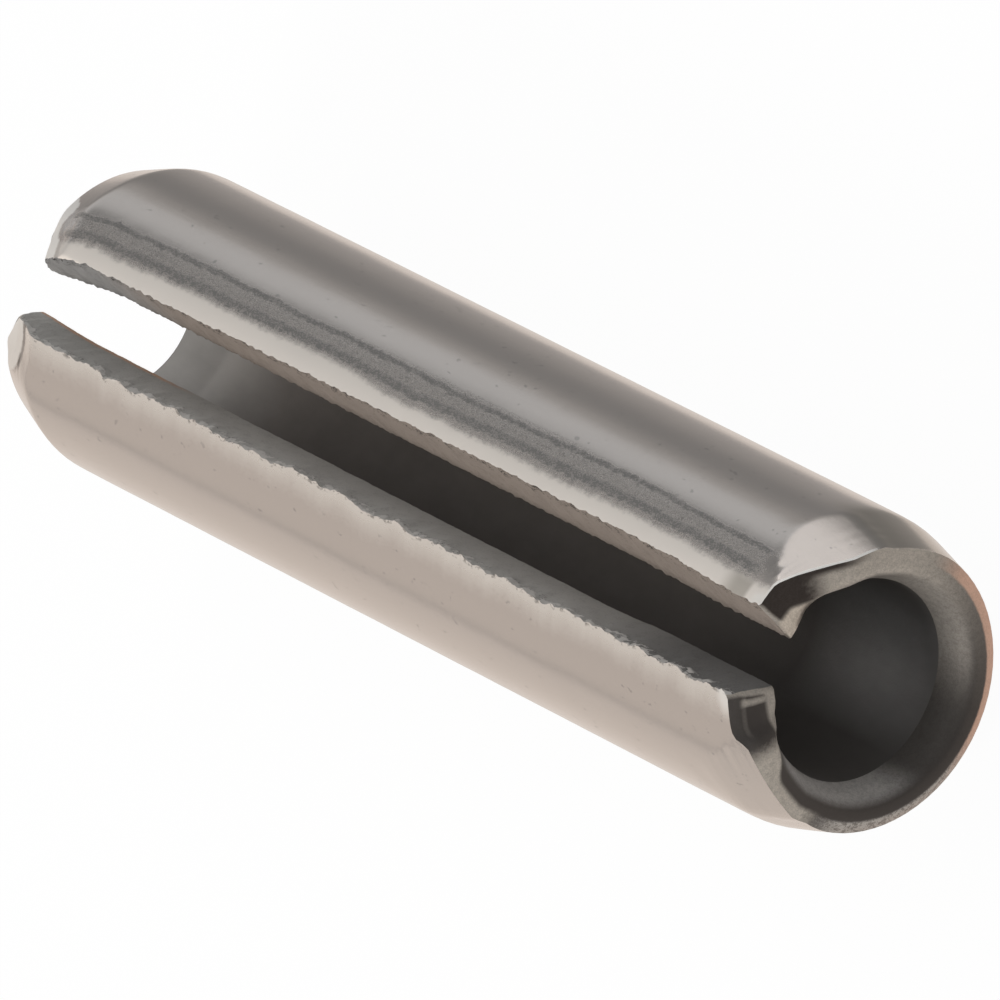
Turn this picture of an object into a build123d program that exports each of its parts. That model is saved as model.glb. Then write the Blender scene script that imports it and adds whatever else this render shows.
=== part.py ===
from build123d import *
import math
import os

# Slotted spring pin, also called a roll pin, of 6 mm nominal size and 26 mm length.
# One strip of spring steel rolled into a split tube, with both ends swaged inwards.
# All sizes are in millimetres and describe the pin free, before it is driven into its hole.
# It lies along X with the slot upwards; the origin is on its axis, at mid length.
# The near end is the one at +X, the far end the one at -X.

# Barrel
pin_length = 26.0
outside_diameter = 6.6        # free diameter, larger than the 6 mm hole that closes it
strip_thickness = 1.2

# Slot, between the two edges of the strip
slot_width_outside = 1.92
slot_width_inside = 1.12

# Swaged ends, outside
swage_length = 1.4
swage_depth = 0.35            # how far the rim is pushed in
swage_blend_radius = 1.0      # softens the bend between barrel and swage
rim_bevel_width = 0.23
rim_bevel_length = 0.17

# Mouth of the bore, near end: straight and countersunk
countersink_width = 0.34
countersink_depth = 0.65

# Mouth of the bore, far end: the wall bends in and keeps its thickness
mouth_bevel_width = 0.2
mouth_bevel_depth = 0.15

# Lips: at both ends the corners beside the slot are set back by a sloping cut
lip_setback = 0.55            # at the outside of the barrel
lip_trim_height = 1.7         # above the axis, where the cut runs out into the end face

# Far end: swaging has pinched the strip's edges together a little
pinch_length = 2.4
pinch_each_side = 0.12

os.makedirs("parts", exist_ok=True)

outer_radius = outside_diameter / 2
bore_radius = outer_radius - strip_thickness
rim_radius = outer_radius - swage_depth
mouth_radius = bore_radius - swage_depth
half_length = pin_length / 2
swage_start = half_length - swage_length
margin = strip_thickness      # how far the cutters reach past the pin


def wall_section():
    """Half section of the wall between bore and outside, from end to end."""
    rim = [
        (swage_start, outer_radius),
        (half_length - rim_bevel_length, rim_radius),
        (half_length, rim_radius - rim_bevel_width),
    ]
    near_mouth = [
        (half_length, bore_radius + countersink_width),
        (half_length - countersink_depth, bore_radius),
    ]
    far_mouth = [
        (-swage_start, bore_radius),
        (mouth_bevel_depth - half_length, mouth_radius),
        (-half_length, mouth_radius + mouth_bevel_width),
    ]
    far_rim = [(-x, radius) for x, radius in reversed(rim)]
    outline = make_face(Polyline(*rim, *near_mouth, *far_mouth, *far_rim, close=True))
    bends = [
        corner
        for corner in outline.vertices()
        if abs(abs(corner.X) - swage_start) < 1e-6
    ]
    return fillet(bends, swage_blend_radius)


def slot_section(x, pinch):
    """Cross-section of the slot at x, from inside the bore to above the barrel."""
    inner_height = math.sqrt(bore_radius**2 - (slot_width_inside / 2) ** 2)
    outer_height = math.sqrt(outer_radius**2 - (slot_width_outside / 2) ** 2)
    flare = (slot_width_outside - slot_width_inside) / 2 / (outer_height - inner_height)

    def half_width(height):
        return slot_width_inside / 2 - pinch + flare * (height - inner_height)

    low = mouth_radius - strip_thickness / 4
    high = outer_radius + margin
    corners = [
        (-half_width(low), low),
        (half_width(low), low),
        (half_width(high), high),
        (-half_width(high), high),
    ]
    across = Plane(origin=(x, 0, 0), x_dir=(0, 1, 0), z_dir=(1, 0, 0))
    return across * make_face(Polyline(*corners, close=True))


def slot_space():
    """Room between the strip's edges: even along the barrel, narrowing to the far end."""
    pinch_start = pinch_length - half_length
    pinch_end_factor = (pinch_length + margin) / pinch_length
    even = loft([slot_section(pinch_start, 0), slot_section(half_length + margin, 0)])
    narrowing = loft(
        [
            slot_section(pinch_start, 0),
            slot_section(-half_length - margin, pinch_each_side * pinch_end_factor),
        ]
    )
    return even + narrowing


def near_lip_trim():
    """Wedge above the sloping cut that sets the near end's lips back."""
    slope = lip_setback / (outer_radius - lip_trim_height)
    top = outer_radius + margin
    corners = [
        (half_length, lip_trim_height),
        (half_length - slope * (top - lip_trim_height), top),
        (half_length + margin, top),
        (half_length + margin, lip_trim_height),
    ]
    wedge = Plane.XZ * make_face(Polyline(*corners, close=True))
    return extrude(wedge, outside_diameter, both=True)


def spring_pin():
    tube = revolve(Plane.XZ * wall_section(), Axis.X, 360)
    lip_trim = near_lip_trim()
    return tube - slot_space() - lip_trim - mirror(lip_trim, Plane.YZ)


pin = spring_pin()
export_step(pin, "parts/spring_pin.step")
print(f"volume {pin.volume:.1f} mm3, box {pin.bounding_box()}")
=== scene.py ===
import bpy
import math
from mathutils import Matrix, Vector
from types import SimpleNamespace


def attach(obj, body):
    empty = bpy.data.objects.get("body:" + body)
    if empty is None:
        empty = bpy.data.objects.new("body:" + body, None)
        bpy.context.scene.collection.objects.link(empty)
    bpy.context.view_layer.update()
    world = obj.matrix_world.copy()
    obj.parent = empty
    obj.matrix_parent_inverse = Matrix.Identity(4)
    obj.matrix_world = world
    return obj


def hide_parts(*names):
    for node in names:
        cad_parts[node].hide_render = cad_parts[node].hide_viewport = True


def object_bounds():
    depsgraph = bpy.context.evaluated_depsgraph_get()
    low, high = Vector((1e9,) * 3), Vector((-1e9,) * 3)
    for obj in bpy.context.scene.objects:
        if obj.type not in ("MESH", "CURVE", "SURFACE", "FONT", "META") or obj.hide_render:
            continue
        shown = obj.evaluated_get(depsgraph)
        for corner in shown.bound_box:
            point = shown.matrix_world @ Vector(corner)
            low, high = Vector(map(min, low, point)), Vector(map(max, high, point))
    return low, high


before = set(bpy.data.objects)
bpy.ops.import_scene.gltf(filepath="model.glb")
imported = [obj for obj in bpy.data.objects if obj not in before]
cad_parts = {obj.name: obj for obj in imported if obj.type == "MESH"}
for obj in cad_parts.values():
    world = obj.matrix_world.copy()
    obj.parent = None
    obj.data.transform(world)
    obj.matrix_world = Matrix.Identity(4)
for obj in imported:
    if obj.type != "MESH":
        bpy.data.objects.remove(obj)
cadBox = [list(corner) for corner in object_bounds()]

mm = 0.001                       # lengths below are in millimetres, Blender's in metres


# Node maths, for geometry and shaders alike

class Wire:
    def __init__(self, graph, socket):
        self.graph = graph
        self.socket = socket

    def maths(self, operation, *others):
        return self.graph.maths(operation, self, *others)

    def __add__(self, other):
        return self.maths("ADD", other)

    def __radd__(self, other):
        return self.graph.maths("ADD", other, self)

    def __sub__(self, other):
        return self.maths("SUBTRACT", other)

    def __rsub__(self, other):
        return self.graph.maths("SUBTRACT", other, self)

    def __mul__(self, other):
        return self.maths("MULTIPLY", other)

    def __rmul__(self, other):
        return self.graph.maths("MULTIPLY", other, self)

    def __truediv__(self, other):
        return self.maths("DIVIDE", other)

    def __pow__(self, other):
        return self.maths("POWER", other)

    def __neg__(self):
        return self.maths("MULTIPLY", -1.0)

    def __gt__(self, other):
        return self.maths("GREATER_THAN", other)

    def __lt__(self, other):
        return self.maths("LESS_THAN", other)

    def __abs__(self):
        return self.maths("ABSOLUTE")

    def atLeast(self, low):
        return self.maths("MAXIMUM", low)

    def atMost(self, high):
        return self.maths("MINIMUM", high)

    def rise(self, start, end, low=0.0, high=1.0, smooth=True):
        kind = "SMOOTHSTEP" if smooth else "LINEAR"
        values = {"Value": self, "From Min": start, "From Max": end, "To Min": low, "To Max": high}
        return self.graph.add("ShaderNodeMapRange", {"interpolation_type": kind}, values)

    def fall(self, start, end):
        return self.rise(start, end, 1.0, 0.0)

    def line(self, centre, halfWidth):
        offset = (self - centre) / halfWidth
        return (1.0 - offset * offset).atLeast(0.0)


class Graph:
    def __init__(self, tree):
        self.tree = tree
        self.tree.nodes.clear()

    def add(self, kind, settings=None, values=None, output=0):
        node = self.tree.nodes.new(kind)
        for name, value in (settings or {}).items():
            setattr(node, name, value)
        for name, value in (values or {}).items():
            self.feed(node.inputs[name], value)
        return Wire(self, node.outputs[output]) if node.outputs else None

    def feed(self, socket, value):
        if isinstance(value, Wire):
            self.tree.links.new(value.socket, socket)
        else:
            socket.default_value = value

    def maths(self, operation, *values):
        return self.add("ShaderNodeMath", {"operation": operation}, dict(enumerate(values)))

    def split(self, vector):
        node = self.add("ShaderNodeSeparateXYZ", None, {0: vector}).socket.node
        return [Wire(self, output) for output in node.outputs]

    def join(self, x, y, z):
        return self.add("ShaderNodeCombineXYZ", None, {0: x, 1: y, 2: z})

    def scale(self, vector, factor):
        return self.add("ShaderNodeVectorMath", {"operation": "SCALE"}, {0: vector, "Scale": factor})

    def noise(self, place, scale, detail, roughness):
        values = {"Vector": place, "Scale": scale, "Detail": detail, "Roughness": roughness}
        return self.add("ShaderNodeTexNoise", {"noise_dimensions": "3D"}, values)

    def blend(self, share, first, second):
        first, second = [value if isinstance(value, Wire) else (*value, 1.0) for value in (first, second)]
        return self.add("ShaderNodeMix", {"data_type": "RGBA"}, {0: share, 6: first, 7: second}, 2)


# The pin: one strip of steel, rolled up by a node tree.
# x runs from the middle of the pin towards the near end, and fromLip round the strip from its
# nearer edge at the slot. The upper lip is the one at +Y, the lower lip the one at -Y.
# Ranges are (start, end), or (start, end, value before, value after). Lines are (middle, half width),
# and noises (scale, detail, roughness).

pin = {
    "Length": 26.0,
    "Outer radius": 3.298,
    "Strip thickness": 1.198,
    "Upper slot outside": 1.04,  # from the middle of the slot to each of its edges
    "Upper slot inside": 0.515,
    "Lower slot outside": 0.92,
    "Lower slot inside": 0.6,
    "Swage length": 1.4,
    "Swage depth": 0.35,
    "Swage bend": 0.12,          # softness of the bend, as a share of the swage
    "Facet start": 11.55,        # near lips: the swage is a nearly flat facet on each
    "Facet slope": 0.26,
    "Facet flatness": 0.8,
    "Upper facet angle": 0.67,   # from the lip to the facet's middle, in radians
    "Lower facet angle": 0.76,
    "Rim bevel": 0.16,
    "Countersink": 0.65,
    "Far mouth bevel": 0.1,
    "Lip setback": 0.48,         # near end, at the slot
    "Upper cut width": 2.2,      # how far round the lip's slanting cut reaches
    "Lower cut width": 1.0,
    "Far setback": 0.34,
    "Far cut width": 0.65,
    "Lip corner": 0.06,          # bevel between an end face and the slot
    "Top": 3.166,                # height of the highest edge
    "Pinch length": 2.4,
    "Pinch": 0.12,
    "Edge ripple": 0.4,          # raggedness of the sheared edges
    "Serration": 0.13,
    "Burr": 0.02,
    "Edge drop": 0.03,           # fall of the outside towards the lower edge
    "Waviness": 0.006,
    "Seed": 4.0,
}
strip = {
    "along": 420,                # mesh points each way
    "around": 96,
    "through": 11,
    "crowdedEnds": 1.2,          # above 1, the rows are closer together towards the ends
    "crowdedLips": 1.75,         # and towards the slot
    "lastRow": 0.9999,           # share of the way to an end or a lip that only the last row passes
    "wholeFace": 0.99,           # a face has a mark when all its corners have it
    "sharpAngle": 38.0,
}
ends = {
    "flatStart": 0.5,            # depths of the flat ring, from 0 at the bore to 1 outside
    "flatEnd": 0.7,
    "rimCurve": 1.6,
    "mouthCurve": 2.0,
    "upperRim": (4.3, 5.8),      # fromLip where the near rim bevel comes in
    "lowerRim": (3.2, 4.8),
    "upperCutStart": 0.5,
    "lowerCutCurve": 0.5,
    "shallowMouth": (0.3, 1.6, 0.12, 1.0),    # the countersink runs out at the lips
    "deepMouth": (0.0, 0.65, 0.2, 0.0),       # and is deepest opposite the slot
    "farUpperMouth": (0.4, 1.4),
    "farLowerMouth": 1.3,
    "farSlant": (2.8, 0.28),     # width and depth of the upper far lip's slant
    "farUpperShort": 0.08,
}
swage = {
    "farLater": 0.18,            # the far swage starts nearer its end
    "farCrisper": 0.05,
    "hook": (0.5, 1.3),          # the far lips bend in from further back
    "hookEarlier": 0.28,
    "hookShorter": 0.18,
    "deepest": 1.12,
    "shallow": (2.5, 5.0, 0.0, 0.13),         # near end, away from the lips
    "boreFollows": (0.6, 2.6, 0.12, 1.0),
    "lowerFacetLater": 0.15,
    "facetSoftness": 0.06,
    "lowerFacetSofter": 0.4,
    "facetStarts": (10.6, 11.3),
    "facetStops": (0.75, 1.15),  # round the strip, past the facet's middle
    "facetJoin": 0.012,
}
slot = {
    "taperStart": 4.0,           # from this x the upper lip comes in towards the far end
    "taper": 0.008,
    "upperNear": (9.0, 12.0, 0.0, 0.1),       # by x, how much an edge comes in
    "upperFar": (-12.8, -10.6, 0.12, 0.0),
    "upperInside": (7.0, 10.5, 0.0, 0.055),
    "lowerInside": (7.0, 9.0, 0.0, 0.07),
    "upperPinch": 1.6,
    "lowerPinch": 0.7,
    "coarseNoise": (1.5, 3.0, 0.75),
    "fineNoise": (5.5, 1.0, 0.6),
    "noiseGap": 7.0,             # so that the two lips differ
    "coarseThrough": 0.6,        # how fast the noise changes through the wall
    "fineThrough": 0.3,
    "coarseLeast": 0.12,
    "fineLower": 0.3,
    "fineLowerLeast": 0.1,
}
skin = {
    "burrNoise": (4.5, 3.0, 0.6),
    "burrStretch": 1.5,
    "burrLevel": 0.35,           # noise above this stands out as a burr
    "burrWidth": (0.02, 0.35),
    "burrLeast": 0.25,
    "burrLower": 1.2,
    "dropWidth": (0.0, 0.8),
    "waveNoise": (1.0, 2.0, 0.5),
    "waveAlong": 0.5,
    "waveRound": 0.8,
    "waveGap": 9.0,
}


def softRamp(value, softness):
    return (value + (value * value + softness * softness).maths("SQRT")) * 0.5


def fades(distance, width, amount):
    return distance.rise(0.0, width, amount, 0.0, smooth=False)


def layerEnd(size, at):
    # How far each layer of the wall reaches towards either end
    rimShape = ((at.depth - ends["flatEnd"]) / (1.0 - ends["flatEnd"])).atLeast(0.0) ** ends["rimCurve"]
    mouthShape = (1.0 - at.depth / ends["flatStart"]).atLeast(0.0) ** ends["mouthCurve"]
    rimShare = at.upper * at.fromLip.rise(*ends["upperRim"])
    rimShare += at.lower * at.fromLip.rise(*ends["lowerRim"])
    rim = rimShape * size["Rim bevel"] * (at.far + at.near * rimShare)
    corner = fades(at.fromLip, size["Lip corner"], size["Lip corner"])

    pastStart = at.fromLip - ends["upperCutStart"]
    upperCut = fades(pastStart, size["Upper cut width"] - ends["upperCutStart"], size["Lip setback"])
    lowerCut = fades(at.fromLip, size["Lower cut width"], 1.0) ** ends["lowerCutCurve"]
    nearCut = upperCut * at.upper + lowerCut * size["Lip setback"] * at.lower
    mouthShare = at.fromLip.rise(*ends["shallowMouth"]) + at.toLip.rise(*ends["deepMouth"])
    nearMouth = mouthShape * size["Countersink"] * mouthShare
    nearEnd = size["Length"] * 0.5 - rim - nearMouth - nearCut - corner

    mouthShare = at.upper * at.fromLip.rise(*ends["farUpperMouth"]) + at.lower * ends["farLowerMouth"]
    farMouth = mouthShape * size["Far mouth bevel"] * mouthShare
    farCut = fades(at.fromLip, size["Far cut width"], size["Far setback"])
    farCut += at.upper * (fades(at.fromLip, *ends["farSlant"]) + ends["farUpperShort"])
    farEnd = size["Length"] * 0.5 - rim - farMouth - farCut * at.depth - corner * at.lower
    return nearEnd * at.near + farEnd * at.far


def swagePush(size, at):
    # How far the swage pushes the wall in, outside and in the bore
    outer = size["Outer radius"]
    farLater = at.far * swage["farLater"]
    hook = at.fromLip.fall(*swage["hook"]) * at.far
    start = size["Length"] * 0.5 - size["Swage length"] + farLater - hook * swage["hookEarlier"]
    run = size["Swage length"] - size["Rim bevel"] - farLater - hook * swage["hookShorter"]
    pushed = softRamp((abs(at.x) - start) / run, size["Swage bend"] - at.far * swage["farCrisper"])
    shallower = 1.0 - at.near * at.fromLip.rise(*swage["shallow"])
    cone = pushed.atMost(swage["deepest"]) * size["Swage depth"] * shallower
    bore = cone * at.far * at.fromLip.rise(*swage["boreFollows"])

    middle = size["Upper facet angle"] * at.upper + size["Lower facet angle"] * at.lower
    pastStart = at.x - size["Facet start"] - at.lower * swage["lowerFacetLater"]
    ramp = softRamp(pastStart, at.lower * swage["lowerFacetSofter"] + swage["facetSoftness"])
    tilt = (middle - at.fromLip / outer) * size["Facet flatness"]
    facetRadius = (outer - ramp * size["Facet slope"]) / tilt.maths("COSINE")
    facet = softRamp(outer - facetRadius, swage["facetJoin"])
    share = at.x.rise(*swage["facetStarts"]) * (at.fromLip - middle * outer).fall(*swage["facetStops"])
    return cone + (facet - cone) * share, bore


def skinRadius(g, size, at, push):
    # The outside with its slight waviness and the burrs at its edges
    outer = size["Outer radius"]
    burrPlace = g.join(at.x, size["Seed"] * 2.0, at.fromLip * skin["burrStretch"])
    burr = (g.noise(burrPlace, *skin["burrNoise"]) - skin["burrLevel"]) * size["Burr"]
    burr = (burr * (at.lower * skin["burrLower"] + skin["burrLeast"])).atLeast(0.0)
    wavePlace = g.join(at.x * skin["waveAlong"], at.fromLip * skin["waveRound"],
                       size["Seed"] + at.lower * skin["waveGap"])
    wave = (g.noise(wavePlace, *skin["waveNoise"]) * 2.0 - 2.0) * size["Waviness"]
    drop = at.fromLip.fall(*skin["dropWidth"]) * size["Edge drop"] * at.lower
    return (outer - push - drop + burr * at.fromLip.fall(*skin["burrWidth"]) + wave).atMost(outer)


def lipAngle(g, size, at, radius):
    # The slot's faces are planes that flare outwards and end in ragged edges
    bore, outer = size["Outer radius"] - size["Strip thickness"], size["Outer radius"]
    upperOut = size["Upper slot outside"] - (slot["taperStart"] - at.x).atLeast(0.0) * slot["taper"]
    upperOut -= at.x.rise(*slot["upperNear"]) + at.x.rise(*slot["upperFar"])
    upperIn = size["Upper slot inside"] - at.x.rise(*slot["upperInside"])
    lowerIn = size["Lower slot inside"] - at.x.rise(*slot["lowerInside"])
    halfOut = upperOut * at.upper + size["Lower slot outside"] * at.lower
    halfIn = upperIn * at.upper + lowerIn * at.lower
    innerHeight = (bore * bore - halfIn * halfIn).maths("SQRT")
    outerHeight = (outer * outer - halfOut * halfOut).maths("SQRT")
    flare = (halfOut - halfIn) / (outerHeight - innerHeight)

    gap = at.lower * slot["noiseGap"]
    coarsePlace = g.join(at.x, size["Seed"] + gap, at.depth * slot["coarseThrough"])
    finePlace = g.join(at.x, size["Seed"] - gap, at.depth * slot["fineThrough"])
    coarse = (g.noise(coarsePlace, *slot["coarseNoise"]) - 0.5) * size["Edge ripple"]
    fine = (g.noise(finePlace, *slot["fineNoise"]) - 0.5) * size["Serration"]
    outwards = at.depth * at.depth
    ripple = coarse * (at.lower * outwards + slot["coarseLeast"])
    ripple += fine * (at.upper + at.lower * (outwards * slot["fineLower"] + slot["fineLowerLeast"]))

    pinch = (size["Pinch length"] - size["Length"] * 0.5 - at.x) / size["Pinch length"]
    pinch = pinch.atLeast(0.0) * size["Pinch"]
    pinch *= at.upper * slot["upperPinch"] + at.lower * slot["lowerPinch"]
    face = halfIn - flare * innerHeight - pinch + ripple
    faceLength = (flare * flare + 1.0).maths("SQRT")
    return (face / (radius * faceLength)).maths("ARCSINE") + flare.maths("ARCTANGENT")


def pinTree(outsideSteel, shearedSteel, scaledSteel):
    tree = bpy.data.node_groups.new("rollPinStrip", "GeometryNodeTree")
    for name in pin:
        tree.interface.new_socket(name, in_out="INPUT", socket_type="NodeSocketFloat")
    tree.interface.new_socket("Geometry", in_out="OUTPUT", socket_type="NodeSocketGeometry")
    g = Graph(tree)
    inputs = g.add("NodeGroupInput").socket.node
    size = {name: Wire(g, inputs.outputs[name]) for name in pin}

    shape = g.add("GeometryNodeMeshCube", None, {
        "Size": (2.0, 2.0, 2.0),
        "Vertices X": strip["along"],
        "Vertices Y": strip["around"],
        "Vertices Z": strip["through"],
    })
    along, around, through = g.split(g.add("GeometryNodeInputPosition"))
    toEnd = 1.0 - (1.0 - abs(along)) ** strip["crowdedEnds"]
    toLip = 1.0 - (1.0 - abs(around)) ** strip["crowdedLips"]
    near, lower = along > 0.0, around > 0.0
    at = SimpleNamespace(depth=through * 0.5 + 0.5, toLip=toLip, near=near, far=1.0 - near,
                         lower=lower, upper=1.0 - lower,
                         fromLip=(1.0 - toLip) * (size["Outer radius"] * math.pi - 1.0))
    reach = layerEnd(size, at)
    at.x = toEnd * reach * (near * 2.0 - 1.0)
    outsidePush, borePush = swagePush(size, at)
    bore = size["Outer radius"] - size["Strip thickness"] - borePush
    radius = bore + (skinRadius(g, size, at, outsidePush) - bore) * at.depth
    angle = (math.pi - lipAngle(g, size, at, radius)) * toLip * (lower * 2.0 - 1.0)
    height = (-(radius * angle.maths("COSINE"))).atMost(size["Top"])
    rolled = g.join(at.x, -(radius * angle.maths("SINE")), height)

    marks = {
        "edgeDistance": at.fromLip,
        "endDistance": (1.0 - toEnd) * reach,
        "lowerSide": lower,
        "depth": at.depth,
        "endFace": abs(along) > strip["lastRow"],
        "slotFace": abs(around) > strip["lastRow"],
    }
    for name, field in marks.items():
        shape = g.add("GeometryNodeStoreNamedAttribute", {"data_type": "FLOAT", "domain": "POINT"},
                      {"Geometry": shape, "Name": name, "Value": field})
    shape = g.add("GeometryNodeSetPosition", None, {"Geometry": shape, "Position": g.scale(rolled, mm)})
    shape = g.add("GeometryNodeRealizeInstances", None, {"Geometry": shape})

    def marked(name):
        return g.add("GeometryNodeInputNamedAttribute", {"data_type": "FLOAT"}, {"Name": name})

    sheared = marked("slotFace") > strip["wholeFace"]
    scaled = (marked("depth") < 1.0 - strip["wholeFace"]) + (marked("endFace") > strip["wholeFace"])
    shape = g.add("GeometryNodeSetMaterial", None, {"Geometry": shape, "Material": outsideSteel})
    for chosen, material in ((sheared, shearedSteel), (scaled > 0.5, scaledSteel)):
        shape = g.add("GeometryNodeSetMaterial", None,
                      {"Geometry": shape, "Selection": chosen, "Material": material})
    g.add("NodeGroupOutput", None, {"Geometry": shape})
    return tree


def makePin():
    holder = bpy.data.objects.new("pinHolder", bpy.data.meshes.new("pinHolder"))
    bpy.context.scene.collection.objects.link(holder)
    modifier = holder.modifiers.new("roll", "NODES")
    modifier.node_group = pinTree(outsideSteel(), shearedSteel(), scaledSteel())
    for socket in modifier.node_group.interface.items_tree:
        if socket.in_out == "INPUT":
            modifier[socket.identifier] = pin[socket.name]
    evaluated = holder.evaluated_get(bpy.context.evaluated_depsgraph_get())
    mesh = bpy.data.meshes.new_from_object(evaluated)
    bpy.data.objects.remove(holder)
    mesh.name = "rollPin"
    mesh.shade_smooth()
    mesh.set_sharp_from_angle(angle=math.radians(strip["sharpAngle"]))
    rollPin = bpy.data.objects.new("rollPin", mesh)
    bpy.context.scene.collection.objects.link(rollPin)
    print(f"pin: {len(mesh.polygons)} faces, {len(mesh.attributes)} attributes")
    return rollPin


# Spring steel: bright outside, matt where it was sheared, scaled inside

bumpSize = {"Strength": 0.5, "Distance": 0.02 * mm}


class Finish(Graph):
    def __init__(self, name):
        self.material = bpy.data.materials.new(name)
        self.material.use_nodes = True
        super().__init__(self.material.node_tree)
        place = self.add("ShaderNodeTexCoord", None, None, "Object")
        self.x, self.y, self.z = self.split(self.scale(place, 1.0 / mm))
        self.lower = self.mark("lowerSide")

    def mark(self, name):
        return self.add("ShaderNodeAttribute", {"attribute_name": name}, None, "Fac")

    def patterns(self, table):
        return [self.noise(self.join(self.x * lengthwise, self.y, self.z), scale, detail, roughness)
                for scale, lengthwise, detail, roughness in table.values()]

    def shade(self, relief, **sockets):
        values = {name.replace("_", " "): value for name, value in sockets.items()}
        bump = self.add("ShaderNodeBump", None, {**bumpSize, "Height": relief})
        shader = self.add("ShaderNodeBsdfPrincipled", None, {**values, "Normal": bump})
        self.add("ShaderNodeOutputMaterial", None, {"Surface": shader})
        return self.material


steel = {
    "outside": (0.47, 0.43, 0.40),
    # edgeBand: partly burnished, partly a painted highlight
    "edgeBand": (0.68, 0.635, 0.59),
    # dark scale, also used for a painted dark reflection in the band beside the upper lip
    "smudgeAndDarkReflection": (0.17, 0.165, 0.16),
    "shaded": (0.30, 0.275, 0.24),
    "burr": (0.66, 0.635, 0.60),
    "burnish": (0.80, 0.78, 0.75),
    # dark for torn edges and for the painted shadow line beside the far crescents
    "tearAndShadow": (0.05, 0.045, 0.04),
    "edgeTint": (1.0, 0.95, 0.92, 1.0),
    "roughness": 0.17,
    "rougher": {"streaks": 0.06, "smudgeAndDarkReflection": 0.25, "burrs": 0.1, "bright": 0.22, "burnish": 0.3},
    "roughest": 0.6,             # the most that all of these add
    "speckShare": (0.66, 0.74, 0.0, 0.35),
    "burrShare": (0.35, 0.6, 0.75, 1.0),
    "tearAndShadowMost": 0.85,
    "burnishShare": 0.95,
    "lowerBurnishLess": 0.2,
    "reliefSmudge": 0.25,
    "reliefBurrs": 0.05,
    "reliefLeast": 0.03,
    "reliefStreaks": 0.1,
}
steelPatterns = {                # scale per millimetre, share of it along the pin, detail, roughness
    "grain": (30.0, 1.0, 2.0, 0.6),
    "flecks": (11.0, 0.6, 3.0, 0.65),
    "streaks": (5.2, 0.08, 3.0, 0.6),
    "drift": (0.9, 0.4, 3.0, 0.5),
    "specks": (5.2, 0.7, 2.0, 0.6),
}
lipBands = {                     # beside the upper lip, by fromLip unless x is named
    "drift": 0.2,                # how far the bands wander
    "flecks": 0.12,
    "brightWidth": 0.4,          # at the far end
    "brightSteps": ((-10.0, -8.0, 0.055), (-2.0, 0.0, -0.145), (4.5, 6.5, 0.06)),    # by x
    "brightEdge": (-0.09, 0.1),
    "bandEnd": (1.11, 1.24),
    "upperLine": (1.08, 0.08),
    "upperLineBend": 0.07,
    "upperLineBendAt": (2.5, 4.0),            # a line in x
    "lowerLine": (0.43, 0.13),
    "lineStrength": 1.3,
    "grainInPits": 1.3,
    "flecksInPits": 0.7,
    "pits": (0.86, 1.16),
    "bandPits": 0.5,
    "bandLeast": 0.04,
    "linePits": 0.4,
    "lineLeast": 0.4,
    "farFade": (-12.4, -11.4),   # in x
    "nearFade": (11.5, 12.2),
    "darkest": 0.95,
}
lowerEdge = {                    # the lower lip's torn edge
    "burrs": (-0.1, 0.62),
    "burrRaggedness": 0.4,
    "tears": (0.02, 0.1),
    "tearFlecks": (0.52, 0.64),
    "tearShare": 0.6,
}
tips = {
    "lowerCrescent": (0.62, 0.8),             # a line
    "lowerCrescentLength": 0.66,
    "upperCrescent": (0.8, 0.35),             # a line
    "upperCrescentLength": 0.38,
    "upperCrescentDip": 0.16,
    "upperCrescentEnd": (1.3, 1.7),
    "flecks": 0.12,
    "crescentEdge": (-0.04, 0.08),
    "crescentLeast": (0.0, 0.08),
    # darkLine: a painted shadow beside each far crescent
    "darkLine": 0.09,            # from the crescent's edge
    "darkLineWidth": 0.17,
    "darkLineThinner": 0.05,     # for each millimetre from the lip
    "darkLineEnd": (0.7, 1.4),
    "darkLineLeast": (0.0, 0.2),
    "lowerDarkLine": 1.2,
    "upperDarkLine": 0.35,
    "darkLineShare": 0.8,
    "nearTip": (0.12, 0.3),
    "lowerTipWider": 0.25,
    "nearTipLength": (0.2, 0.42),
    "facetEdge": (0.03, 0.09),
    "facetEdgeEnd": (2.6, 3.0),
    # painted shade on the bright edge near the near end, and beside the upper facet
    "shadedStart": (11.0, 11.6),              # in x
    "shadedEnd": (11.9, 12.05),
    "shadedShare": 0.7,
    "besideStart": (10.8, 11.8),              # in x
    "besideFrom": (2.7, 3.3),
    "besideTo": (4.4, 5.6),
    "besideShare": 0.9,
}


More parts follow.
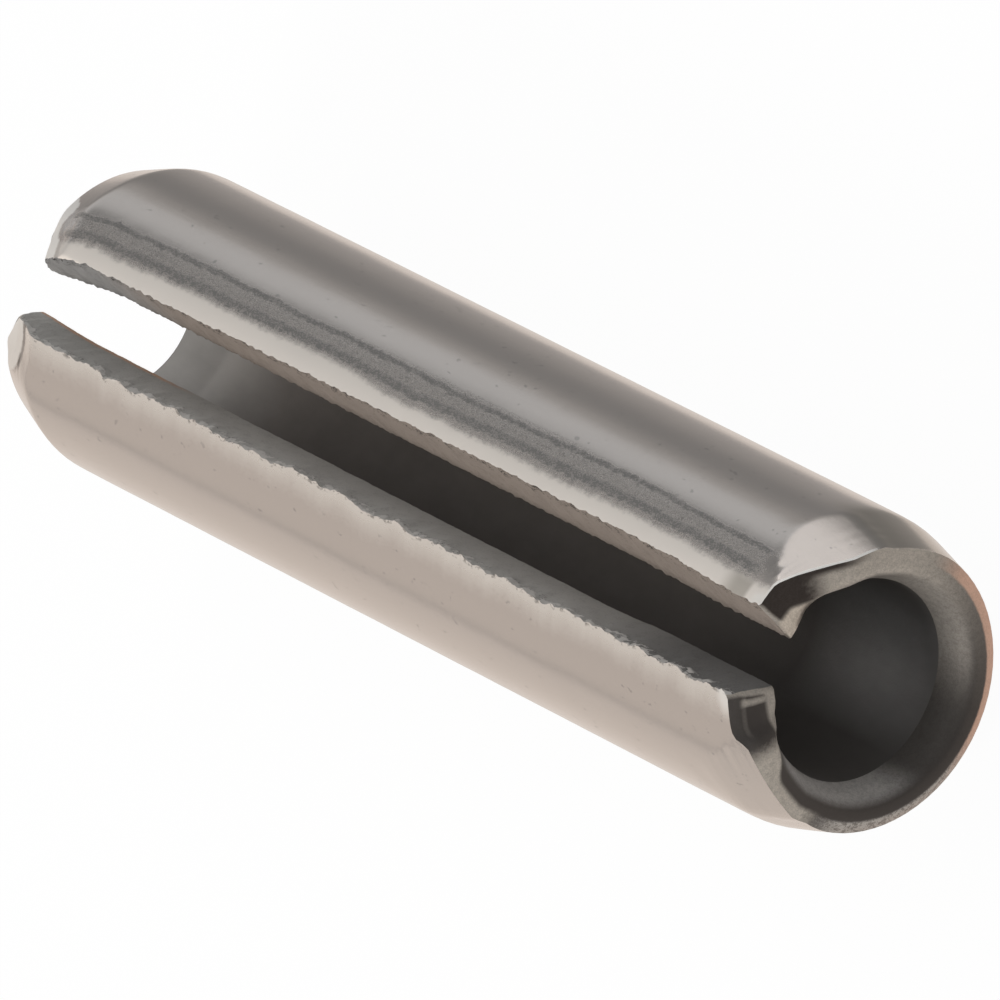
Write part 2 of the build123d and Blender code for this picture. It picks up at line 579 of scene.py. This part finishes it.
def outsideSteel():
    g = Finish("outsideSteel")
    fromLip, fromEnd = g.mark("edgeDistance"), g.mark("endDistance")
    near, lower, upper = g.x > 0.0, g.lower, 1.0 - g.lower
    grain, flecks, streaks, drift, specks = g.patterns(steelPatterns)

    # Beside the upper lip: a bright edge, partly burnished and partly a painted highlight, then a smudged
    # band of dark scale with a painted dark reflection, between two thin dark lines
    wander = fromLip + (drift - 0.5) * lipBands["drift"] + (flecks - 0.5) * lipBands["flecks"]
    brightWidth = lipBands["brightWidth"]
    for start, end, change in lipBands["brightSteps"]:
        brightWidth = g.x.rise(start, end, 0.0, change) + brightWidth
    pastBright = (wander - brightWidth).rise(*lipBands["brightEdge"])
    bright = (1.0 - pastBright) * upper
    band = pastBright * wander.fall(*lipBands["bandEnd"]) * upper
    bend = g.x.line(*lipBands["upperLineBendAt"]) * lipBands["upperLineBend"]
    lines = (wander + bend).line(*lipBands["upperLine"])
    lines += (wander - brightWidth * 0.5).line(*lipBands["lowerLine"])
    lines *= upper * lipBands["lineStrength"]
    pits = (grain * lipBands["grainInPits"] + flecks * lipBands["flecksInPits"]).rise(*lipBands["pits"])
    atMiddle = g.x.rise(*lipBands["farFade"]) * g.x.fall(*lipBands["nearFade"])
    # the smudged band is partly real dark scale and partly a painted dark reflection
    smudgeAndDarkReflection = band * (pits * lipBands["bandPits"] + lipBands["bandLeast"])
    smudgeAndDarkReflection += lines * (pits * lipBands["linePits"] + lipBands["lineLeast"])
    smudgeAndDarkReflection = (smudgeAndDarkReflection * atMiddle).atMost(lipBands["darkest"])

    ragged = fromLip + (flecks + drift - 1.0) * lowerEdge["burrRaggedness"]
    burrs = ragged.fall(*lowerEdge["burrs"]) * lower
    tears = fromLip.fall(*lowerEdge["tears"]) * flecks.rise(*lowerEdge["tearFlecks"]) * lower
    tears *= lowerEdge["tearShare"]

    # Worn tips: crescents at the far lips with a painted shadow line beside them, a spot and a bright edge
    # at the near ones; then painted shade near the near end
    crescent = lower * fromLip.line(*tips["lowerCrescent"]) * tips["lowerCrescentLength"]
    dip = fromLip.line(*tips["upperCrescent"]) * tips["upperCrescentDip"]
    crescent += upper * (tips["upperCrescentLength"] - dip) * fromLip.fall(*tips["upperCrescentEnd"])
    pastCrescent = fromEnd + (flecks - 0.5) * tips["flecks"] - crescent + near
    farTip = pastCrescent.fall(*tips["crescentEdge"]) * crescent.rise(*tips["crescentLeast"])
    lineWidth = tips["darkLineWidth"] - fromLip * tips["darkLineThinner"]
    darkLine = pastCrescent.line(tips["darkLine"], lineWidth) * fromLip.fall(*tips["darkLineEnd"])
    darkLine *= lower * tips["lowerDarkLine"] + upper * tips["upperDarkLine"]
    darkLine *= crescent.rise(*tips["darkLineLeast"])
    tipStart, tipEnd = tips["nearTip"]
    nearTip = fromLip.fall(tipStart, lower * tips["lowerTipWider"] + tipEnd) * near
    nearTip *= fromEnd.fall(*tips["nearTipLength"])
    facetEdge = fromEnd.fall(*tips["facetEdge"]) * fromLip.fall(*tips["facetEdgeEnd"]) * near * upper
    burnish = (farTip + nearTip + facetEdge).atMost(1.0)
    # painted shade: the bright edge darkened near the near end, and the outside beside the upper facet
    shaded = g.x.rise(*tips["shadedStart"]) * g.x.fall(*tips["shadedEnd"]) * bright
    beside = g.x.rise(*tips["besideStart"]) * fromLip.rise(*tips["besideFrom"])
    beside *= fromLip.fall(*tips["besideTo"]) * upper

    colour = g.blend(specks.rise(*steel["speckShare"]), steel["outside"], steel["smudgeAndDarkReflection"])
    # the bright edge is partly a painted highlight
    colour = g.blend(bright, colour, steel["edgeBand"])
    colour = g.blend(smudgeAndDarkReflection, colour, steel["smudgeAndDarkReflection"])
    colour = g.blend(shaded * tips["shadedShare"] + beside * tips["besideShare"], colour, steel["shaded"])
    colour = g.blend(burrs * flecks.rise(*steel["burrShare"]), colour, steel["burr"])
    # the lower lip's dark torn edge, and the painted shadow line beside the far crescents
    tearsAndShadowLine = (tears + darkLine * tips["darkLineShare"]).atMost(steel["tearAndShadowMost"])
    colour = g.blend(tearsAndShadowLine, colour, steel["tearAndShadow"])
    burnishShare = steel["burnishShare"] - lower * steel["lowerBurnishLess"]
    colour = g.blend(burnish * burnishShare, colour, steel["burnish"])
    relief = smudgeAndDarkReflection * steel["reliefSmudge"] + burrs * steel["reliefBurrs"] + steel["reliefLeast"]
    relief = relief * (grain + flecks) + streaks * steel["reliefStreaks"]
    parts = {"streaks": streaks, "smudgeAndDarkReflection": smudgeAndDarkReflection, "burrs": burrs, "bright": bright, "burnish": burnish}
    rougher = sum(part * steel["rougher"][name] for name, part in parts.items())
    return g.shade(relief, Base_Color=colour, Metallic=1.0, Specular_Tint=steel["edgeTint"],
                   Roughness=rougher.atMost(steel["roughest"]) + steel["roughness"])


sheared = {
    "lower": (0.41, 0.395, 0.375),
    "nearLower": (0.17, 0.165, 0.16),
    "upper": (0.34, 0.285, 0.245),
    "farUpper": (0.345, 0.335, 0.325),
    "light": (0.58, 0.555, 0.53),
    "dark": (0.05, 0.045, 0.04),
    "fringe": (0.62, 0.36, 0.23),
    "roughness": 0.8,
    "farUpperEnd": (-11.0, -7.5),             # in x
    "nearLowerStart": (6.5, 10.5),
    "fringeEnd": (-9.0, -7.0),
    "fringeDepth": (0.05, 0.14),
    "fringeShare": 0.8,
    "burrs": (0.58, 0.66),
    "burrHelp": (0.7, 1.0, 0.0, 0.16),        # by depth
    "burrDepth": (0.74, 0.84),
    "pits": (1.0, 1.2),
    "pitDepth": (0.7, 0.9, 0.15, 0.9),
    "relief": 0.7,
    "specular": 0.1,
}
shearedPatterns = {
    "grain": (24.0, 1.0, 2.0, 0.6),
    "tears": (4.2, 1.0, 3.0, 0.65),
}


def shearedSteel():
    g = Finish("shearedSteel")
    depth = g.mark("depth")
    grain, tears = g.patterns(shearedPatterns)
    upper = g.blend(g.x.fall(*sheared["farUpperEnd"]), sheared["upper"], sheared["farUpper"])
    colour = g.blend(g.lower, upper, sheared["lower"])
    colour = g.blend(g.x.rise(*sheared["nearLowerStart"]) * g.lower, colour, sheared["nearLower"])
    burrs = (tears + depth.rise(*sheared["burrHelp"])).rise(*sheared["burrs"])
    burrs *= depth.rise(*sheared["burrDepth"]) * g.lower
    pits = (grain + tears).rise(*sheared["pits"]) * depth.rise(*sheared["pitDepth"])
    fringe = depth.fall(*sheared["fringeDepth"]) * g.x.fall(*sheared["fringeEnd"]) * g.lower
    colour = g.blend(pits, colour, sheared["dark"])
    colour = g.blend(burrs, colour, sheared["light"])
    colour = g.blend(fringe * sheared["fringeShare"], colour, sheared["fringe"])
    return g.shade((grain + tears) * sheared["relief"], Base_Color=colour, Metallic=0.0,
                   Roughness=sheared["roughness"], Specular_IOR_Level=sheared["specular"])


scaled = {
    # bore tones: painted shade at the near mouth, painted light towards the far end
    "mouth": (0.13, 0.122, 0.115),
    "boreHighlight": (0.36, 0.35, 0.345),
    "bore": (0.235, 0.215, 0.20),
    "farBoreLit": (0.56, 0.545, 0.525),
    # a dark tone for scale, dirt and specks, and for the painted shade on the near ring
    "darkScaleAndShade": (0.065, 0.057, 0.052),
    "lip": (0.03, 0.024, 0.021),
    # painted light on the near ring above
    "ringLitAbove": (0.60, 0.54, 0.47),
    # countersink tones: painted light and painted shade
    "countersinkLit": (0.48, 0.435, 0.385),
    "countersinkShade": (0.12, 0.11, 0.10),
    "countersinkLitBelow": (0.60, 0.57, 0.54),
    "worn": (0.66, 0.60, 0.525),
    "straw": (0.55, 0.37, 0.29),
    "greyBevel": (0.40, 0.385, 0.365),
    "edgeTint": (1.0, 0.84, 0.76, 1.0),
    "roughness": 0.62,
    "metallic": 0.3,
    "bevelShine": 0.5,           # shine is added to metallic
    "polishShine": 0.6,
    "smoother": 0.4,
    "specular": 0.4,
    "relief": 0.25,
}
scaledPatterns = {
    "grain": (28.0, 1.0, 2.0, 0.6),
    "flecks": (9.0, 1.0, 3.0, 0.65),
    "mottle": (1.2, 0.6, 3.0, 0.6),
}
boreParts = {
    "litAlong": (10.4, 2.2),     # a painted highlight inside the near mouth, as two lines
    "litAcross": (0.3, 1.6),
    "farLight": (-13.5, -8.4),   # in x
    "mouthStart": (4.0, 9.0),
    "mottle": (0.3, 0.7, 0.0, 0.15),
}
ringParts = {                    # in y across the pin and z up it
    "lightAbove": (-0.6, 1.8),
    "darkBelow": (-2.6, 0.6, 0.2, 1.0),
    "farTone": 0.45,
    "coneLight": (-0.2, 1.5),
    "coneDarkTop": (-0.8, 0.8, 0.0, 0.85),
    "coneBelow": (-1.95, -1.25),
    "coneDepth": (0.18, 0.45),
    "coneFromLip": (1.5, 2.5),
    "coneShare": 0.9,
    "dirt": (0.7, 1.35, 0.0, 0.35),
}
nearLips = {                     # by fromLip unless depth is named
    "farAway": 9.0,              # keeps these marks off the far end
    "flecks": 0.4,
    "brownInside": (0.95, 1.7),
    "brownOutside": (1.8, 3.0),
    "brownDepth": (0.75, 0.95),
    "patchGrey": (0.6, 0.9, 0.03, 0.12),      # by depth
    "wornStart": (1.1, 1.6),
    "wornEnd": (3.3, 4.1),
    "wornDepth": (1.5, 2.4, 0.2, 0.7),
    "wornEdge": (-0.08, 0.08),
    "slotEdge": (0.1, 0.2),
    "slotEdgeSlant": 0.1,
    "edgeFlecks": (0.3, 0.6, 0.6, 0.9),
    "boreEdge": (0.14, 0.28),    # by depth
    "boreEdgeWider": (0.3, 1.2, 0.22, 0.1),
    "boreEdgeEnd": (1.9, 2.4),
    "lowerBoreEdgeShorter": 0.4,
    "patchLine": (0.66, 0.06),   # a line by depth
    "patchLineSlant": 0.08,
    "patchLineEnd": (0.8, 1.0),
    "patchLineShare": 0.18,
    "lightBar": (0.24, 0.1),     # a line
    "lightBarStart": (0.15, 0.3),             # by depth
    "lightBarEnd": (0.65, 0.8),
    "polishEnd": (0.9, 1.6),
}
bevelParts = {                   # by fromLip unless depth is named
    "upper": (4.4, 5.8),
    "lower": (3.6, 4.6),
    "far": (0.3, 1.2),
    "lowerRaggedness": 1.5,
    "depth": (0.68, 0.76),
    "raggedness": 0.08,
    "greyEnd": (7.6, 9.2),
    "specks": (0.9, 1.15),
    "strawSpecks": 0.15,
    "greySpecksMore": 0.5,
    "farSpecksLess": 0.3,
}


def scaledSteel():
    g = Finish("scaledSteel")
    depth, fromLip, endFace = g.mark("depth"), g.mark("edgeDistance"), g.mark("endFace")
    near, lower = g.x > 0.0, g.lower
    far, upper = 1.0 - near, 1.0 - lower
    grain, flecks, mottle = g.patterns(scaledPatterns)
    speckled = grain + flecks

    # Bore: painted shade at the near mouth, painted light towards the far end, a painted highlight in the
    # mouth, then a dark mottle
    lit = g.x.line(*boreParts["litAlong"]) * g.y.line(*boreParts["litAcross"]) * (g.z < 0.0)
    mouth = g.blend(lit, scaled["mouth"], scaled["boreHighlight"])
    bore = g.blend(g.x.rise(*boreParts["farLight"]), scaled["farBoreLit"], scaled["bore"])
    bore = g.blend(g.x.rise(*boreParts["mouthStart"]), bore, mouth)
    bore = g.blend(mottle.rise(*boreParts["mottle"]), bore, scaled["darkScaleAndShade"])

    # End face: at the near end, painted light on the ring above and painted shade below, and painted light
    # and shade on the countersink; the far ring gets one tone between them
    light = g.y.rise(*ringParts["lightAbove"]) * g.z.rise(*ringParts["darkBelow"])
    ring = g.blend(light * near + far * ringParts["farTone"], scaled["darkScaleAndShade"], scaled["ringLitAbove"])
    # painted light and painted shade on the countersink, set by side and height
    cone = g.blend(g.y.rise(*ringParts["coneLight"]), scaled["countersinkShade"], scaled["countersinkLit"])
    cone = g.blend(g.z.rise(*ringParts["coneDarkTop"]), cone, scaled["countersinkShade"])
    cone = g.blend(g.y.rise(*ringParts["coneBelow"]), scaled["countersinkLitBelow"], cone)
    inCone = depth.fall(*ringParts["coneDepth"]) * fromLip.rise(*ringParts["coneFromLip"]) * near
    ring = g.blend(inCone * ringParts["coneShare"], ring, cone)

    # Near lips: brown above, a dark patch with worn metal round it below
    fleckedLip = fromLip + (flecks - 0.5) * nearLips["flecks"] + far * nearLips["farAway"]
    brown = 1.0 - fleckedLip.rise(*nearLips["brownInside"]) * depth.fall(*nearLips["brownDepth"])
    brown *= fleckedLip.fall(*nearLips["brownOutside"]) * upper
    ring = g.blend(brown, ring, scaled["lip"])
    ring = g.blend(depth.rise(*nearLips["patchGrey"]) * lower * near, ring, scaled["greyBevel"])
    worn = fleckedLip.rise(*nearLips["wornStart"]) * fleckedLip.fall(*nearLips["wornEnd"]) * lower
    worn *= (depth - fromLip.rise(*nearLips["wornDepth"])).rise(*nearLips["wornEdge"])
    slotEdge = (fromLip + depth * nearLips["slotEdgeSlant"]).fall(*nearLips["slotEdge"])
    boreEdge = (depth - upper * fromLip.rise(*nearLips["boreEdgeWider"])).fall(*nearLips["boreEdge"])
    boreEdge *= (fleckedLip + lower * nearLips["lowerBoreEdgeShorter"]).fall(*nearLips["boreEdgeEnd"])
    patchLine = (depth - fromLip * nearLips["patchLineSlant"]).line(*nearLips["patchLine"])
    patchLine *= fromLip.fall(*nearLips["patchLineEnd"]) * nearLips["patchLineShare"]
    lightBar = depth.rise(*nearLips["lightBarStart"]) * depth.fall(*nearLips["lightBarEnd"])
    lightBar *= fromLip.line(*nearLips["lightBar"])
    edges = (slotEdge + boreEdge + (patchLine + lightBar) * lower * near).atMost(1.0)
    wornShare = (edges * flecks.rise(*nearLips["edgeFlecks"]) + worn).atMost(1.0)
    ring = g.blend(wornShare, ring, scaled["worn"])
    ring = g.blend(speckled.rise(*ringParts["dirt"]), ring, scaled["darkScaleAndShade"])

    # Rim bevel: straw-coloured, grey below and at the far end
    ragged = fromLip + (flecks - 0.5) * bevelParts["lowerRaggedness"]
    nearBevel = upper * fromLip.rise(*bevelParts["upper"]) + lower * ragged.rise(*bevelParts["lower"])
    bevelled = nearBevel * near + far * fromLip.rise(*bevelParts["far"])
    raggedDepth = depth + (flecks - 0.5) * bevelParts["raggedness"]
    bevelled *= raggedDepth.rise(*bevelParts["depth"]) * endFace
    grey = (far + lower * fromLip.fall(*bevelParts["greyEnd"])).atMost(1.0)
    bevel = g.blend(grey, scaled["straw"], scaled["greyBevel"])
    speckShare = grey * bevelParts["greySpecksMore"] + bevelParts["strawSpecks"]
    speckShare -= far * bevelParts["farSpecksLess"]
    bevel = g.blend(speckled.rise(*bevelParts["specks"]) * speckShare, bevel, scaled["darkScaleAndShade"])

    colour = g.blend(endFace, bore, ring)
    colour = g.blend(bevelled, colour, bevel)
    polished = boreEdge * fromLip.fall(*nearLips["polishEnd"]) * upper * near * endFace
    shine = bevelled * scaled["bevelShine"] + polished * scaled["polishShine"]
    return g.shade(speckled * scaled["relief"], Base_Color=colour, Metallic=shine + scaled["metallic"],
                   Roughness=scaled["roughness"] - shine * scaled["smoother"],
                   Specular_IOR_Level=scaled["specular"], Specular_Tint=scaled["edgeTint"])


# Floor, light and camera

studio = {
    "floorSize": 1.6,            # in metres
    "floorTone": 0.8,
    "floorWhite": 1.02,          # what the camera sees of the floor
    "shadowShare": 0.06,         # how much of the object's shadow the camera sees
    "floorMirrored": (0.98, 0.93, 0.88),
    "mirrorShare": 0.9,
    "world": (0.27, 0.28, 0.29),
}


def makeFloor():
    bpy.ops.mesh.primitive_plane_add(size=studio["floorSize"], location=(0, 0, cadBox[0][2]))
    floor = bpy.context.object
    floor.name = "floor"
    material = bpy.data.materials.new("paleFloor")
    material.use_nodes = True
    g = Graph(material.node_tree)
    eye = g.add("ShaderNodeLightPath", None, None, "Is Camera Ray")
    mirrored = g.add("ShaderNodeLightPath", None, None, "Is Glossy Ray")
    matt = g.add("ShaderNodeBsdfDiffuse", None, {"Color": (studio["floorTone"],) * 3 + (1,)})
    white = g.add("ShaderNodeEmission", None, {"Color": (1, 1, 1, 1), "Strength": studio["floorWhite"]})
    warm = g.add("ShaderNodeEmission", None, {"Color": (*studio["floorMirrored"], 1), "Strength": 1.0})
    seen = g.add("ShaderNodeMixShader", None, {0: eye * (1.0 - studio["shadowShare"]), 1: matt, 2: white})
    both = g.add("ShaderNodeMixShader", None, {0: mirrored * studio["mirrorShare"], 1: seen, 2: warm})
    g.add("ShaderNodeOutputMaterial", None, {"Surface": both})
    floor.data.materials.append(material)
    print("floor placed")


shadowCard = {
    "x": (-500.0, 60.0),
    "y": (4.8, 500.0),
    "aboveFloor": 0.05,
    "beside": (0.49, 0.49, 0.49),
    "dark": (0.337, 0.345, 0.352),
    "distant": (0.52, 0.522, 0.522),
    "darkFull": 12.0,            # in y
    "darkEnd": (14.0, 44.0),
}


def makeCard():
    # A glowing grey card beside the pin, which only the steel mirrors: its tones are a painted shadow of
    # the pin on the floor, darkest from 12 to 14 mm out
    (x0, x1), (y0, y1) = shadowCard["x"], shadowCard["y"]
    bpy.ops.mesh.primitive_plane_add(size=1.0)
    card = bpy.context.object
    card.name = "shadowCard"
    height = cadBox[0][2] + shadowCard["aboveFloor"] * mm
    middle = Matrix.Translation(((x0 + x1) / 2 * mm, (y0 + y1) / 2 * mm, height))
    card.data.transform(middle @ Matrix.Diagonal(((x1 - x0) * mm, (y1 - y0) * mm, 1.0, 1.0)))
    material = bpy.data.materials.new("shadowCard")
    material.use_nodes = True
    g = Graph(material.node_tree)
    y = g.split(g.scale(g.add("ShaderNodeTexCoord", None, None, "Object"), 1.0 / mm))[1]
    # painted shadow of the pin on the floor, seen only in reflections
    tone = g.blend(y.rise(y0, shadowCard["darkFull"]), shadowCard["beside"], shadowCard["dark"])
    tone = g.blend(y.rise(*shadowCard["darkEnd"]), tone, shadowCard["distant"])
    grey = g.add("ShaderNodeEmission", None, {"Color": tone, "Strength": 1.0})
    g.add("ShaderNodeOutputMaterial", None, {"Surface": grey})
    card.data.materials.append(material)
    for ray in ("camera", "diffuse", "shadow", "transmission"):
        setattr(card, "visible_" + ray, False)
    print("card placed")


def makeWorld():
    world = bpy.data.worlds.new("studio")
    bpy.context.scene.world = world
    world.use_nodes = True
    g = Graph(world.node_tree)
    eye = g.add("ShaderNodeLightPath", None, None, "Is Camera Ray")
    sky = g.add("ShaderNodeBackground", None, {"Color": g.blend(eye, studio["world"], (1, 1, 1))})
    g.add("ShaderNodeOutputWorld", None, {"Surface": sky})


# Azimuths are counted in degrees from +X towards +Y, distances and sizes are in metres.
# All lamps face the pin.
lamps = {
    "key": {"azimuth": 280, "elevation": 37, "distance": 0.4, "size": (0.10, 0.10), "radiance": 15.0,
            "tint": (1.0, 1.0, 1.0)},
    "leftBox": {"azimuth": 218, "elevation": 28, "distance": 0.6, "size": (0.8, 0.6), "radiance": 0.63,
                "tint": (1.0, 0.90, 0.81)},
    "topBox": {"azimuth": 150, "elevation": 58, "distance": 0.5, "size": (0.7, 0.48), "radiance": 0.85,
               "tint": (1.0, 0.98, 0.95)},
    "horizonBox": {"azimuth": 152, "elevation": 7, "distance": 0.6, "size": (0.64, 0.165), "radiance": 0.53,
                   "tint": (1.0, 1.05, 1.09)},
    "sideBox": {"azimuth": 112, "elevation": 16, "distance": 0.5, "size": (0.2, 0.36), "radiance": 1.0,
                "tint": (1.0, 1.0, 1.0)},
}


def makeLamps():
    for name, lamp in lamps.items():
        light = bpy.data.lights.new(name, "AREA")
        light.shape = "RECTANGLE"
        light.size, light.size_y = lamp["size"]
        light.color = lamp["tint"]
        light.energy = lamp["radiance"] * math.pi * light.size * light.size_y
        holder = bpy.data.objects.new(name, light)
        around, up = math.radians(lamp["azimuth"]), math.radians(lamp["elevation"])
        out = Vector((math.cos(around) * math.cos(up), math.sin(around) * math.cos(up), math.sin(up)))
        holder.location = out * lamp["distance"]
        holder.rotation_mode = "QUATERNION"
        holder.rotation_quaternion = out.to_track_quat("Z", "Y")
        holder.visible_camera = False
        bpy.context.scene.collection.objects.link(holder)
    print(f"{len(lamps)} lamps placed")


camera = {
    "right": (0.58024, 0.34408, -0.73819),
    "up": (-0.29537, 0.93357, 0.20297),
    "back": (0.75899, 0.10027, 0.64333),
    "place": (0.36390248, 0.04801696, 0.30815594),
    "lens": 864.0,
    "sensor": 36.0,
    "clip": (0.01, 10.0),
}


def makeCamera():
    data = bpy.data.cameras.new("camera")
    data.lens = camera["lens"]
    data.sensor_width = camera["sensor"]
    data.clip_start, data.clip_end = camera["clip"]
    holder = bpy.data.objects.new("camera", data)
    turn = Matrix((camera["right"], camera["up"], camera["back"])).transposed()
    holder.matrix_world = Matrix.Translation(camera["place"]) @ turn.to_4x4()
    bpy.context.scene.collection.objects.link(holder)
    bpy.context.scene.camera = holder
    print("camera placed")


rollPin = makePin()
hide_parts("spring_pin")
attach(rollPin, "root")
makeFloor()
makeCard()
makeWorld()
makeLamps()
makeCamera()
bpy.context.scene.view_settings.view_transform = "Standard"
